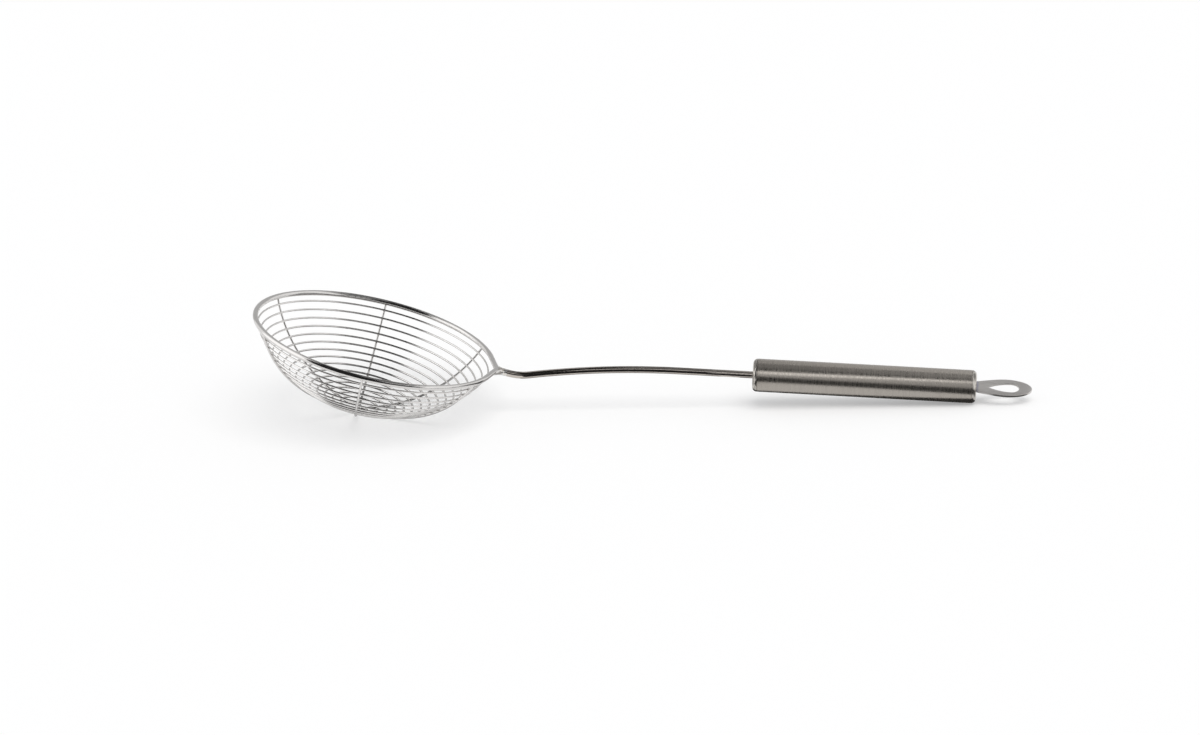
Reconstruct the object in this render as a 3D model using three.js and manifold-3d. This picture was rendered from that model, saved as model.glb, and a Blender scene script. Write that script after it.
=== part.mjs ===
// A hand strainer: a basket of wire rings and ribs, a bent shank and a hollow tube handle with an eyelet.
// Millimetres, +Z up. It lies at rest on a table: +X points along the handle, the origin is under its middle.

import * as THREE from 'three';
import { mergeVertices } from 'three/addons/utils/BufferGeometryUtils.js';
import Module from 'manifold-3d';

// Basket
const RIM_DIAMETER = 116.8; // outside
const RIM_WIRE = 2.6;
const NECK_REACH = 1.8; // how far the rim is drawn out past its circle, towards the shank
const NECK_BEND = 2.5; // radius of the rim wire's bend at the neck
const BASKET_DEPTH = 33.8; // rim plane to the rings' surface at the bottom
const BASKET_FULLNESS = 0.44; // 0 is a paraboloid, 1 is half an ellipsoid
const RING_COUNT = 15;
const RING_WIRE = 0.9;
const RIM_GAP = 2.05; // clear space along the wall between the rim wire and the first ring
const LAST_RING = 9.1; // along the wall, from the bottom's middle
const RIB_COUNT = 3;
const RIB_WIRE = 1.1;
const FIRST_RIB_ANGLE = THREE.MathUtils.degToRad(30); // from the handle's direction

// Shank
const SHANK_WIRE = 3.3;
const SHANK_DROP = 0.5; // its start under the rim wire's middle
const NECK_RUN = 4.9; // straight, along the rim's plane
const KICK_RADIUS = 25;
const KICK_TURN = THREE.MathUtils.degToRad(20.8); // upwards, past the neck
const ARCH_LENGTH = 71; // the long gentle arch back to the handle's slope
const HANDLE_RISE = THREE.MathUtils.degToRad(11.2); // the handle's slope from the rim's plane
const SHANK_STRAIGHT = 34; // from the arch to the handle
const SHANK_TAIL = 30; // inside the handle

// Handle
const HANDLE_DIAMETER = 15.5;
const HANDLE_LENGTH = 104.5; // over both caps
const TUBE_WALL = 0.8;
const CAP_EDGE = 2.2; // radius of a cap's rounded edge
const CAP_WALL = 0.8;
const SPIGOT_LENGTH = 7; // of a cap inside the tube
const COLLAR_LENGTH = 3; // of the front cap round the shank, past the cap's face

// Hanging eyelet
const EYELET_REACH = 26; // from the rear cap's face to the tip
const EYELET_WIDTH = 14;
const EYELET_NECK = 8.2; // width at the rear cap
const EYELET_WIDEST = 13.9; // from the rear cap's face
const EYELET_EASE = 4.4; // before the widest place, where the flank starts to run straight
const EYELET_THICKNESS = 1;
const TANG_LENGTH = 9; // from the rear cap's face into the handle
const TANG_WIDTH = 6;
const EYELET_TURN = THREE.MathUtils.degToRad(14); // about the handle's axis, near edge down
const ROOT_BAND = 5; // metal between the rear cap's face and the hole's point
const FLANK_BAND = 3.2; // metal beside the hole at its widest
const TIP_BAND = 6; // metal between the hole and the tip

// Clearances
const WELD_GAP = 0.2; // between crossing wires
const FIT_GAP = 0.3; // between pieces that butt together or fit into each other

// Facets
const WIRE_SIDES = 6;
const ROD_SIDES = 8;
const RING_FACETS = 30;
const RIM_FACETS = 72;
const RIB_STEPS = 48;
const SHANK_STEPS = 60;
const TURNED_FACETS = 32;
const ARC_POINTS = 5;
const EYELET_CURVE_POINTS = 8;

const MERGE_DISTANCE = 1e-4;
const STEEPEST_REST = Math.PI / 4;
const REST_HALVINGS = 40;

const FINISHES = {
  rim: { color: 0xc8c8c6, roughness: 0.2 },
  ring: { color: 0xbdbdbb, roughness: 0.22 },
  rib: { color: 0xc4c4c2, roughness: 0.22 },
  shank: { color: 0xb4b2ad, roughness: 0.2 },
  tube: { color: 0xa5a39e, roughness: 0.35 },
  cap: { color: 0xb9b7b2, roughness: 0.18 },
  eyelet: { color: 0xa8a6a1, roughness: 0.4 },
};

const rimRadius = (RIM_DIAMETER - RIM_WIRE) / 2;
const handleRadius = HANDLE_DIAMETER / 2;
const boreRadius = handleRadius - TUBE_WALL;
const spigotRadius = boreRadius - FIT_GAP;

const wasm = await Module();
wasm.setup();

function piece(name, geometry, finish) {
  const mesh = new THREE.Mesh(geometry, new THREE.MeshStandardMaterial({ ...finish, metalness: 1 }));
  mesh.name = name;
  return mesh;
}

function wireSection(diameter, sides) {
  const corners = [];
  for (let i = 0; i < sides; i += 1) {
    const angle = (2 * Math.PI * i) / sides;
    corners.push(new THREE.Vector2(Math.cos(angle), Math.sin(angle)).multiplyScalar(diameter / 2));
  }
  return new THREE.Shape(corners);
}

function openWire(points, diameter, sides, steps) {
  return new THREE.ExtrudeGeometry(wireSection(diameter, sides), {
    steps,
    extrudePath: new THREE.CatmullRomCurve3(points),
    bevelEnabled: false,
  });
}

// A turned piece: its profile holds (radius, distance along +X) and runs anticlockwise.
function turned(profile) {
  return new THREE.LatheGeometry(profile, TURNED_FACETS).rotateZ(-Math.PI / 2);
}

function solidOf(geometry) {
  const bare = geometry.clone();
  bare.deleteAttribute('normal');
  bare.deleteAttribute('uv');
  const merged = mergeVertices(bare, MERGE_DISTANCE);
  const corners = merged.index.array;
  const triVerts = [];
  for (let i = 0; i < corners.length; i += 3) {
    const [a, b, c] = corners.subarray(i, i + 3);
    if (a !== b && b !== c && c !== a) triVerts.push(a, b, c);
  }
  return new wasm.Manifold(new wasm.Mesh({
    numProp: 3,
    vertProperties: new Float32Array(merged.attributes.position.array),
    triVerts: new Uint32Array(triVerts),
  }));
}

function cut(geometry, tool) {
  const result = solidOf(geometry).subtract(solidOf(tool)).getMesh();
  const left = new THREE.BufferGeometry();
  left.setAttribute('position', new THREE.BufferAttribute(result.vertProperties, 3));
  left.setIndex(new THREE.BufferAttribute(result.triVerts, 1));
  return left;
}

// The basket's wall from the rim (0) to the bottom's middle (1), as (radius, depth under the rim's plane).
class BasketWall extends THREE.Curve {
  getPoint(t, target = new THREE.Vector2()) {
    const left = 1 - t;
    const share = 1 - left * left;
    return target.set(rimRadius * left * Math.sqrt(1 + BASKET_FULLNESS * share), BASKET_DEPTH * share);
  }
}

const wall = new BasketWall();
const wallLength = wall.getLength();

// The point of the wall at a distance along it, moved outwards by offset.
function wallPoint(distance, offset = 0) {
  const along = distance / wallLength;
  const point = wall.getPointAt(along);
  const tangent = wall.getTangentAt(along);
  return point.add(new THREE.Vector2(tangent.y, -tangent.x).multiplyScalar(offset));
}

// The rim: a circle with two straight runs that meet in a small bend at the neck.
function rimWire() {
  const spread = Math.acos((rimRadius - NECK_BEND) / (rimRadius + NECK_REACH - NECK_BEND));
  const bendCentre = rimRadius + NECK_REACH - NECK_BEND;
  const outline = new THREE.Path();
  outline.absarc(0, 0, rimRadius, spread, 2 * Math.PI - spread);
  outline.absarc(bendCentre, 0, NECK_BEND, -spread, spread);
  outline.closePath();
  const points = outline.getSpacedPoints(RIM_FACETS).slice(0, RIM_FACETS);
  const loop = new THREE.CatmullRomCurve3(points.map(({ x, y }) => new THREE.Vector3(x, y, 0)), true);
  const geometry = new THREE.TubeGeometry(loop, RIM_FACETS, RIM_WIRE / 2, ROD_SIDES, true);
  return piece('rim_wire', geometry, FINISHES.rim);
}

function ring(index) {
  const first = RIM_WIRE / 2 + RIM_GAP + RING_WIRE / 2;
  const pitch = (wallLength - first - LAST_RING) / (RING_COUNT - 1);
  const middle = wallPoint(first + pitch * index);
  const geometry = new THREE.TorusGeometry(middle.x, RING_WIRE / 2, WIRE_SIDES, RING_FACETS);
  const number = String(index + 1).padStart(2, '0');
  const mesh = piece(`ring_${number}`, geometry, FINISHES.ring);
  mesh.rotation.z = FIRST_RIB_ANGLE; // a facet's corner lies on each rib
  mesh.position.z = -middle.y;
  return mesh;
}

// A rib bows from rim to rim outside the rings. At the bottom the ribs cross, each one wire above the last.
function rib(index) {
  const seat = RING_WIRE / 2 + WELD_GAP;
  const offset = seat + RIB_WIRE / 2;
  const rimReach = RIM_WIRE / 2 + WELD_GAP;
  const start = Math.sqrt(rimReach * rimReach - seat * seat);
  const crossing = LAST_RING - RING_WIRE - RIB_WIRE;
  const lift = (index - (RIB_COUNT - 1) / 2) * (RIB_WIRE + WELD_GAP);
  const points = [];
  for (let step = 0; step <= RIB_STEPS; step += 1) {
    const side = 1 - (2 * step) / RIB_STEPS;
    const fromBottom = Math.abs(side) * (wallLength - start);
    const bump = fromBottom < crossing ? Math.cos((Math.PI / 2) * (fromBottom / crossing)) ** 2 : 0;
    const { x, y } = wallPoint(wallLength - fromBottom, offset - lift * bump);
    points.push(new THREE.Vector3(Math.sign(side) * x, 0, -y));
  }
  const mesh = piece(`rib_${index + 1}`, openWire(points, RIB_WIRE, WIRE_SIDES, RIB_STEPS), FINISHES.rib);
  mesh.rotation.z = FIRST_RIB_ANGLE + (Math.PI * index) / RIB_COUNT;
  return mesh;
}

// A bent rod's middle line in the XZ plane: runs that are straight or turn evenly, walked one after another.
function bentLine(start, runs) {
  const place = start.clone();
  const points = [start];
  let slope = 0;
  for (const { length, turn } of runs) {
    for (let step = 0; step < ARC_POINTS; step += 1) {
      const middle = slope + turn / (2 * ARC_POINTS);
      place.add(new THREE.Vector3(Math.cos(middle), 0, Math.sin(middle)).multiplyScalar(length / ARC_POINTS));
      points.push(place.clone());
      slope += turn / ARC_POINTS;
    }
  }
  return points;
}

function shankRod(line) {
  const tail = new THREE.Vector3(Math.cos(HANDLE_RISE), 0, Math.sin(HANDLE_RISE)).multiplyScalar(SHANK_TAIL);
  const points = [...line, line.at(-1).clone().add(tail)];
  return piece('shank_rod', openWire(points, SHANK_WIRE, ROD_SIDES, SHANK_STEPS), FINISHES.shank);
}

function handleTube() {
  const start = CAP_EDGE + FIT_GAP;
  const end = HANDLE_LENGTH - start;
  const profile = [
    new THREE.Vector2(boreRadius, start),
    new THREE.Vector2(handleRadius, start),
    new THREE.Vector2(handleRadius, end),
    new THREE.Vector2(boreRadius, end),
    new THREE.Vector2(boreRadius, start),
  ];
  return piece('handle_tube', turned(profile), FINISHES.tube);
}

// A cap's outside, from its face's hole over the rounded edge to the spigot's inner end.
function capOutside(holeRadius) {
  const edge = [];
  for (let i = 0; i <= ARC_POINTS; i += 1) {
    const angle = (Math.PI / 2) * (i / ARC_POINTS);
    edge.push(new THREE.Vector2(
      handleRadius - CAP_EDGE + CAP_EDGE * Math.sin(angle),
      CAP_EDGE - CAP_EDGE * Math.cos(angle),
    ));
  }
  return [
    new THREE.Vector2(holeRadius, 0),
    ...edge,
    new THREE.Vector2(spigotRadius, CAP_EDGE),
    new THREE.Vector2(spigotRadius, CAP_EDGE + SPIGOT_LENGTH),
    new THREE.Vector2(spigotRadius - CAP_WALL, CAP_EDGE + SPIGOT_LENGTH),
    new THREE.Vector2(spigotRadius - CAP_WALL, CAP_EDGE),
  ];
}

function frontCap() {
  const holeRadius = SHANK_WIRE / 2 + FIT_GAP;
  const profile = [
    ...capOutside(holeRadius),
    new THREE.Vector2(holeRadius + CAP_WALL, CAP_EDGE),
    new THREE.Vector2(holeRadius + CAP_WALL, CAP_EDGE + COLLAR_LENGTH),
    new THREE.Vector2(holeRadius, CAP_EDGE + COLLAR_LENGTH),
    new THREE.Vector2(holeRadius, 0),
  ];
  return piece('front_cap', turned(profile), FINISHES.cap);
}

// The rear cap faces the other way, and its face has a slot for the eyelet's tang.
function rearCap() {
  const profile = [...capOutside(0), new THREE.Vector2(0, CAP_EDGE)];
  const slot = new THREE.BoxGeometry(
    2 * (CAP_EDGE + FIT_GAP),
    TANG_WIDTH + 2 * FIT_GAP,
    EYELET_THICKNESS + 2 * FIT_GAP,
  ).rotateX(EYELET_TURN);
  const geometry = cut(turned(profile).rotateZ(Math.PI), slot);
  const mesh = piece('rear_cap', geometry, FINISHES.cap);
  mesh.position.x = HANDLE_LENGTH;
  return mesh;
}

// The eyelet is a flat plate; x runs from the rear cap's face, where the neck's shoulders sit.
function hangingEyelet() {
  const tang = TANG_WIDTH / 2;
  const neck = EYELET_NECK / 2;
  const half = EYELET_WIDTH / 2;
  const ease = EYELET_WIDEST - EYELET_EASE;
  const outline = new THREE.Shape();
  outline.moveTo(-TANG_LENGTH, -tang);
  outline.lineTo(FIT_GAP, -tang);
  outline.lineTo(FIT_GAP, -neck);
  outline.quadraticCurveTo(ease, -half, EYELET_WIDEST, -half);
  outline.absellipse(EYELET_WIDEST, 0, EYELET_REACH - EYELET_WIDEST, half, -Math.PI / 2, Math.PI / 2);
  outline.quadraticCurveTo(ease, half, FIT_GAP, neck);
  outline.lineTo(FIT_GAP, tang);
  outline.lineTo(-TANG_LENGTH, tang);
  const holeHalf = half - FLANK_BAND;
  const holeCentre = EYELET_REACH - TIP_BAND - holeHalf;
  const flank = (ROOT_BAND + holeCentre) / 2;
  const hole = new THREE.Path();
  hole.moveTo(ROOT_BAND, 0);
  hole.quadraticCurveTo(flank, holeHalf, holeCentre, holeHalf);
  hole.absarc(holeCentre, 0, holeHalf, Math.PI / 2, -Math.PI / 2, true);
  hole.quadraticCurveTo(flank, -holeHalf, ROOT_BAND, 0);
  outline.holes.push(hole);
  const geometry = new THREE.ExtrudeGeometry(outline, {
    depth: EYELET_THICKNESS,
    curveSegments: EYELET_CURVE_POINTS,
    bevelEnabled: false,
  }).translate(0, 0, -EYELET_THICKNESS / 2);
  const mesh = piece('hanging_eyelet', geometry, FINISHES.eyelet);
  mesh.position.x = HANDLE_LENGTH;
  mesh.rotation.x = EYELET_TURN;
  return mesh;
}

function pointsOf(object) {
  const points = [];
  object.updateMatrixWorld(true);
  object.traverse((child) => {
    if (!child.isMesh) return;
    const { position } = child.geometry.attributes;
    for (let i = 0; i < position.count; i += 1) {
      points.push(new THREE.Vector3().fromBufferAttribute(position, i).applyMatrix4(child.matrixWorld));
    }
  });
  return points;
}

function lowest(points, tilt) {
  const heights = points.map(({ x, z }) => z * Math.cos(tilt) - x * Math.sin(tilt));
  return heights.reduce((least, height) => Math.min(least, height), Infinity);
}

// The tilt at which the basket and the handle touch the table together.
function restTilt(basket, handle) {
  const basketPoints = pointsOf(basket);
  const handlePoints = pointsOf(handle);
  let low = 0;
  let high = STEEPEST_REST;
  for (let i = 0; i < REST_HALVINGS; i += 1) {
    const tilt = (low + high) / 2;
    if (lowest(basketPoints, tilt) < lowest(handlePoints, tilt)) low = tilt;
    else high = tilt;
  }
  return low;
}

const basket = new THREE.Group();
basket.add(rimWire());
for (let i = 0; i < RING_COUNT; i += 1) basket.add(ring(i));
for (let i = 0; i < RIB_COUNT; i += 1) basket.add(rib(i));

const shankStart = new THREE.Vector3(rimRadius + NECK_REACH + RIM_WIRE / 2 + FIT_GAP, 0, -SHANK_DROP);
const shankLine = bentLine(shankStart, [
  { length: NECK_RUN, turn: 0 },
  { length: KICK_RADIUS * KICK_TURN, turn: KICK_TURN },
  { length: ARCH_LENGTH, turn: HANDLE_RISE - KICK_TURN },
  { length: SHANK_STRAIGHT, turn: 0 },
]);

const handle = new THREE.Group();
handle.add(handleTube(), frontCap(), rearCap(), hangingEyelet());
handle.position.copy(shankLine.at(-1));
handle.rotation.y = -HANDLE_RISE;

const tool = new THREE.Group();
tool.rotation.y = restTilt(basket, handle);
tool.add(basket, shankRod(shankLine), handle);

const strainer = new THREE.Group();
strainer.add(tool);
const box = new THREE.Box3().setFromObject(strainer, true);
const middle = box.getCenter(new THREE.Vector3());
tool.position.set(-middle.x, -middle.y, -box.min.z);

export default strainer;
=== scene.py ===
"""Dresses a hand strainer: a basket of polished wire, a bent shank and a brushed tube handle with an eyelet.

Lengths are in metres and angles in radians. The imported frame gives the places. Each sub-assembly is a class
that models its pieces with Blender's operators in a frame of its own and then sets them in their place.
"""

from __future__ import annotations

import logging
import math
from collections.abc import Iterator, Mapping, Sequence
from dataclasses import dataclass
from enum import Enum
from typing import Any, NamedTuple, Union

import bpy
from mathutils import Matrix, Vector

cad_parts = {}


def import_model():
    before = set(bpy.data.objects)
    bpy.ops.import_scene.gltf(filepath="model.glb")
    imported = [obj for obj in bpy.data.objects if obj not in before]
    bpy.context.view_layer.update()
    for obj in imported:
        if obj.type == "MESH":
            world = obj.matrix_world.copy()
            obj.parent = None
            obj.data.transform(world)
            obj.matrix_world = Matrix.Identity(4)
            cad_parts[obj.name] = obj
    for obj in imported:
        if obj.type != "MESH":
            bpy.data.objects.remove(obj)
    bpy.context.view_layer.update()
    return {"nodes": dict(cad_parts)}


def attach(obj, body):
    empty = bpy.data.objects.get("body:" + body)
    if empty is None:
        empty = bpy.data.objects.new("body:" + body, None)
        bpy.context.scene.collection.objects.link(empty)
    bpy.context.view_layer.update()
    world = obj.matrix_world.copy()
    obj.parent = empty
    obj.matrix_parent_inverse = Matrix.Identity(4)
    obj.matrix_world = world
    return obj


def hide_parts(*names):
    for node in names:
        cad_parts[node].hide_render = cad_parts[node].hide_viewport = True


LOG = logging.getLogger("strainer")
BODY = "root"

MM = 0.001
ORIGIN = Vector((0.0, 0.0, 0.0))
AXIS_X = Vector((1.0, 0.0, 0.0))
AXIS_Y = Vector((0.0, 1.0, 0.0))
AXIS_Z = Vector((0.0, 0.0, 1.0))
FULL_TURN = 2 * math.pi
HALF_TURN = math.pi
QUARTER_TURN = math.pi / 2
MATRIX_SIZE = 4  # rows of the matrix that holds a place

MERGE_DISTANCE = 0.002 * MM
SMOOTH_ANGLE = math.radians(40)
CORNER_DIGITS = 7  # of a metre, to which two corners of a CAD node count as one
CIRCLE_HANDLE = 0.5523  # a Bezier handle's share of the radius on a quarter circle
QUADRATIC_HANDLE = 2 / 3  # a cubic handle's share of the way to a quadratic curve's control point

MEAN_NOISE = 0.5
PLAIN_DETAIL = 2.0  # finer layers in a noise
RICH_DETAIL = 3.0
SPOTTED_DETAIL = 4.0
MIX_FACTOR = 0  # a Mix node's sockets for colours go by number
MIX_FIRST = 6
MIX_SECOND = 7
MIX_RESULT = 2
WHITE = (1.0, 1.0, 1.0, 1.0)

ROD_THICKNESS = 3.3 * MM  # of the shank, which the front cap's hole fits
PLATE_THICKNESS = 1 * MM  # of the eyelet
PLATE_EDGE = 0.14 * MM  # how far the plate's edges are softened

Colour = tuple[float, float, float]
Term = Union["Socket", float]
Point = tuple["Socket", "Socket", "Socket"]


class Slot(Enum):
    """The material slots of the part's record."""

    RIM = "rim_wire"
    RING = "ring_wire"
    RIB = "rib_wire"
    SHANK = "shank_rod"
    TUBE = "handle_tube"
    CAP = "cap"
    EYELET = "eyelet"


class Lay(Enum):
    """The way that a wire's drawing lines run."""

    ROUND_BASKET = "round the basket's axis"
    DOWN_RIBS = "down the ribs, towards the basket's axis"
    ALONG_SHANK = "along the shank"


class Socket:
    """A node's output that takes part in Python arithmetic."""

    def __init__(self, board: Board, link: bpy.types.NodeSocket) -> None:
        """Wrap an output of a node that stands on a board."""
        self.board = board
        self.link = link

    def __add__(self, other: Term) -> Socket:
        """Add a value or a number."""
        return self.board.maths("ADD", self, other)

    def __radd__(self, other: float) -> Socket:
        """Add this to a number."""
        return self.board.maths("ADD", other, self)

    def __sub__(self, other: Term) -> Socket:
        """Take a value or a number away."""
        return self.board.maths("SUBTRACT", self, other)

    def __rsub__(self, other: float) -> Socket:
        """Take this away from a number."""
        return self.board.maths("SUBTRACT", other, self)

    def __mul__(self, other: Term) -> Socket:
        """Multiply by a value or a number."""
        return self.board.maths("MULTIPLY", self, other)

    def __rmul__(self, other: float) -> Socket:
        """Multiply a number by this."""
        return self.board.maths("MULTIPLY", other, self)

    def __truediv__(self, other: Term) -> Socket:
        """Divide by a value or a number."""
        return self.board.maths("DIVIDE", self, other)

    def __rtruediv__(self, other: float) -> Socket:
        """Divide a number by this."""
        return self.board.maths("DIVIDE", other, self)

    def __abs__(self) -> Socket:
        """The size of this without its sign."""
        return self.board.maths("ABSOLUTE", self)


class Board:
    """The node tree of a material or of the world."""

    def __init__(self, tree: bpy.types.NodeTree) -> None:
        """Start with an empty tree."""
        self.tree = tree
        tree.nodes.clear()

    def node(
        self,
        kind: str,
        settings: Mapping[str, Any] | None = None,
        inputs: Mapping[str | int, Any] | None = None,
    ) -> bpy.types.Node:
        """Add a node.

        Args:
            kind: the node's type.
            settings: its properties, which are set first.
            inputs: values or wrapped outputs for its sockets, by name or number.

        Returns:
            The new node.
        """
        made = self.tree.nodes.new(kind)
        for name, setting in (settings or {}).items():
            setattr(made, name, setting)
        for key, given in (inputs or {}).items():
            if isinstance(given, Socket):
                self.tree.links.new(given.link, made.inputs[key])
            else:
                made.inputs[key].default_value = given
        return made

    def out(self, made: bpy.types.Node, output: str | int = 0) -> Socket:
        """Wrap one output of a node."""
        return Socket(self, made.outputs[output])

    def maths(self, operation: str, *terms: Term) -> Socket:
        """Add a Math node for an expression."""
        return self.out(self.node("ShaderNodeMath", {"operation": operation}, dict(enumerate(terms))))

    def root(self, value: Socket) -> Socket:
        """Take a value's square root."""
        return self.maths("SQRT", value)

    def mix(self, factor: Term, first: Colour | Socket, second: Colour | Socket) -> Socket:
        """Mix two colours.

        Args:
            factor: 0 gives the first colour and 1 the second.
            first: a colour or a wrapped colour output.
            second: a colour or a wrapped colour output.

        Returns:
            The mixed colour.
        """
        ends = [given if isinstance(given, Socket) else (*given, 1.0) for given in (first, second)]
        settings = {"data_type": "RGBA", "clamp_factor": True}
        inputs = {MIX_FACTOR: factor, MIX_FIRST: ends[0], MIX_SECOND: ends[1]}
        return self.out(self.node("ShaderNodeMix", settings, inputs), MIX_RESULT)

    def blend(self, factor: Term, first: bpy.types.Node, second: bpy.types.Node) -> Socket:
        """Mix two shaders; a factor of 0 gives the first and 1 the second."""
        sockets = (factor, self.out(first), self.out(second))
        return self.out(self.node("ShaderNodeMixShader", inputs=dict(enumerate(sockets))))

    def noise(self, x: Term, y: Term, z: Term, detail: float = PLAIN_DETAIL) -> Socket:
        """Make noise at a point whose parts are already scaled.

        Args:
            x: the point's first part, in noise cells.
            y: its second part.
            z: its third part.
            detail: how many finer layers the noise has.

        Returns:
            The noise, about 0.5 on average.
        """
        place = self.out(self.node("ShaderNodeCombineXYZ", inputs={"X": x, "Y": y, "Z": z}))
        inputs = {"Vector": place, "Scale": 1.0, "Detail": detail}
        return self.out(self.node("ShaderNodeTexNoise", inputs=inputs))

    def cloud(self, point: Point, size: float, detail: float = PLAIN_DETAIL) -> Socket:
        """Make noise that is equally coarse in all directions."""
        return self.noise(*(part / size for part in point), detail)

    def fade(self, value: Term, low: float, high: float) -> Socket:
        """Ease from 0 at a low value to 1 at a high one.

        Args:
            value: what is tested.
            low: where the result is 0.
            high: where the result is 1.

        Returns:
            A mask from 0 to 1.
        """
        inputs = {"Value": value, "From Min": low, "From Max": high}
        return self.out(self.node("ShaderNodeMapRange", {"interpolation_type": "SMOOTHSTEP"}, inputs))

    def local_point(self, seat: Matrix) -> Point:
        """Read Object coordinates in a sub-assembly's own frame.

        Args:
            seat: the place of that frame.

        Returns:
            The point's three parts.
        """
        inputs = {
            "Vector": self.out(self.node("ShaderNodeTexCoord"), "Object"),
            "Location": seat.to_translation(),
            "Rotation": seat.to_euler(),
        }
        turned = self.out(self.node("ShaderNodeMapping", {"vector_type": "TEXTURE"}, inputs))
        parts = self.node("ShaderNodeSeparateXYZ", inputs={"Vector": turned})
        return self.out(parts, "X"), self.out(parts, "Y"), self.out(parts, "Z")


def new_material(name: str) -> tuple[bpy.types.Material, Board]:
    """Make a material.

    Args:
        name: its name.

    Returns:
        The material and its board, which is still empty.
    """
    made = bpy.data.materials.new(name)
    made.use_nodes = True
    return made, Board(made.node_tree)


class Look(NamedTuple):
    """What varies over a steel surface."""

    tone: Socket
    roughness: Socket
    height: Socket


@dataclass(frozen=True, kw_only=True)
class Steel:
    """Bare stainless steel, with what all its finishes share."""

    name: str
    colour: Colour
    shade: Colour  # what the marks in it show
    roughness: float
    spread: float  # how far the roughness varies
    depth: float  # of the marks

    def look(self, board: Board, point: Point) -> Look:
        """Lay out what varies over the surface; each finish has its own."""
        raise NotImplementedError

    def varied(self, first: Socket, second: Socket) -> Socket:
        """Vary the roughness with two noises, evenly about its own value."""
        return self.roughness + self.spread * (first + second - 2 * MEAN_NOISE)

    def material(self, seat: Matrix) -> bpy.types.Material:
        """Make the material.

        Args:
            seat: the frame of the sub-assembly that wears it.

        Returns:
            The finished material.
        """
        made, board = new_material(self.name)
        look = self.look(board, board.local_point(seat))
        bump = board.node("ShaderNodeBump", inputs={"Distance": self.depth, "Height": look.height})
        inputs = {
            "Base Color": look.tone,
            "Metallic": 1.0,
            "Roughness": look.roughness,
            "Normal": board.out(bump),
        }
        steel = board.out(board.node("ShaderNodeBsdfPrincipled", inputs=inputs))
        board.node("ShaderNodeOutputMaterial", inputs={"Surface": steel})
        return made


@dataclass(frozen=True, kw_only=True)
class DrawnWire(Steel):
    """Polished wire with the fine lines of the drawing die along it and faint cloudy patches."""

    lay: Lay
    spread: float = 0.08
    depth: float = 0.004 * MM
    line_pitch: float = 0.09 * MM
    line_length: float = 14 * MM
    patch: float = 6 * MM

    def across(self, board: Board, point: Point) -> tuple[Term, Term]:
        """Find the two distances that change across the wire and stay the same along it.

        Args:
            board: the material's nodes.
            point: the point in the sub-assembly's frame.

        Returns:
            The two distances.
        """
        x, y, z = point
        if self.lay is Lay.ALONG_SHANK:
            return y, 0.0
        squared = x * x + y * y
        if self.lay is Lay.ROUND_BASKET:
            return board.root(squared), z
        # The cosine of three times the angle is 0 on each rib, so beside a rib this is the distance from it.
        return x * (4 * x * x / squared - 3) / 3, 0.0

    def look(self, board: Board, point: Point) -> Look:
        """Lay out the lines and patches.

        Args:
            board: the material's nodes.
            point: the point in the sub-assembly's frame.

        Returns:
            What varies over the wire.
        """
        x, y, z = point
        first, second = self.across(board, point)
        along = (x + y + z) / self.line_length
        lines = board.noise(first / self.line_pitch, second / self.line_pitch, along)
        patches = board.cloud(point, self.patch)
        tone = board.mix((lines + patches) / 2, self.colour, self.shade)
        return Look(tone, self.varied(lines, patches), lines)


@dataclass(frozen=True, kw_only=True)
class BrushedTube(Steel):
    """Steel brushed round the handle: fine and broad grooves and a slow change of tone."""

    fine_pitch: float = 0.11 * MM
    broad_pitch: float = 1.1 * MM
    groove_length: float = 9 * MM
    patch: float = 16 * MM
    tone_share: float = 0.6  # of the broad grooves in the tone
    fine_share: float = 0.35  # of the fine grooves in the height

    def look(self, board: Board, point: Point) -> Look:
        """Lay out the grooves and the patches.

        Args:
            board: the material's nodes.
            point: the point in the sub-assembly's frame.

        Returns:
            What varies over the tube.
        """
        x, y, z = point
        y_long = y / self.groove_length
        z_long = z / self.groove_length
        fine = board.noise(x / self.fine_pitch, y_long, z_long)
        broad = board.noise(x / self.broad_pitch, y_long, z_long, RICH_DETAIL)
        patches = board.cloud(point, self.patch)
        worn = broad * self.tone_share + patches * (1 - self.tone_share)
        height = fine * self.fine_share + broad * (1 - self.fine_share)
        return Look(board.mix(worn, self.colour, self.shade), self.varied(fine, broad), height)


@dataclass(frozen=True, kw_only=True)
class TurnedCap(Steel):
    """Polished steel with faint turning marks round the handle's axis and small dull spots."""

    mark_pitch: float = 0.16 * MM
    mark_length: float = 6 * MM
    patch: float = 2.2 * MM
    tone_share: float = 0.6  # of the marks in the tone

    def look(self, board: Board, point: Point) -> Look:
        """Lay out the turning marks and the spots.

        Args:
            board: the material's nodes.
            point: the point in the sub-assembly's frame.

        Returns:
            What varies over the cap.
        """
        x, y, z = point
        radius = board.root(y * y + z * z)
        marks = board.noise(radius / self.mark_pitch, x / self.mark_pitch, y / self.mark_length)
        spots = board.cloud(point, self.patch, SPOTTED_DETAIL)
        worn = marks * self.tone_share + spots * (1 - self.tone_share)
        return Look(board.mix(worn, self.colour, self.shade), self.varied(marks, spots), marks)


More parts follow.
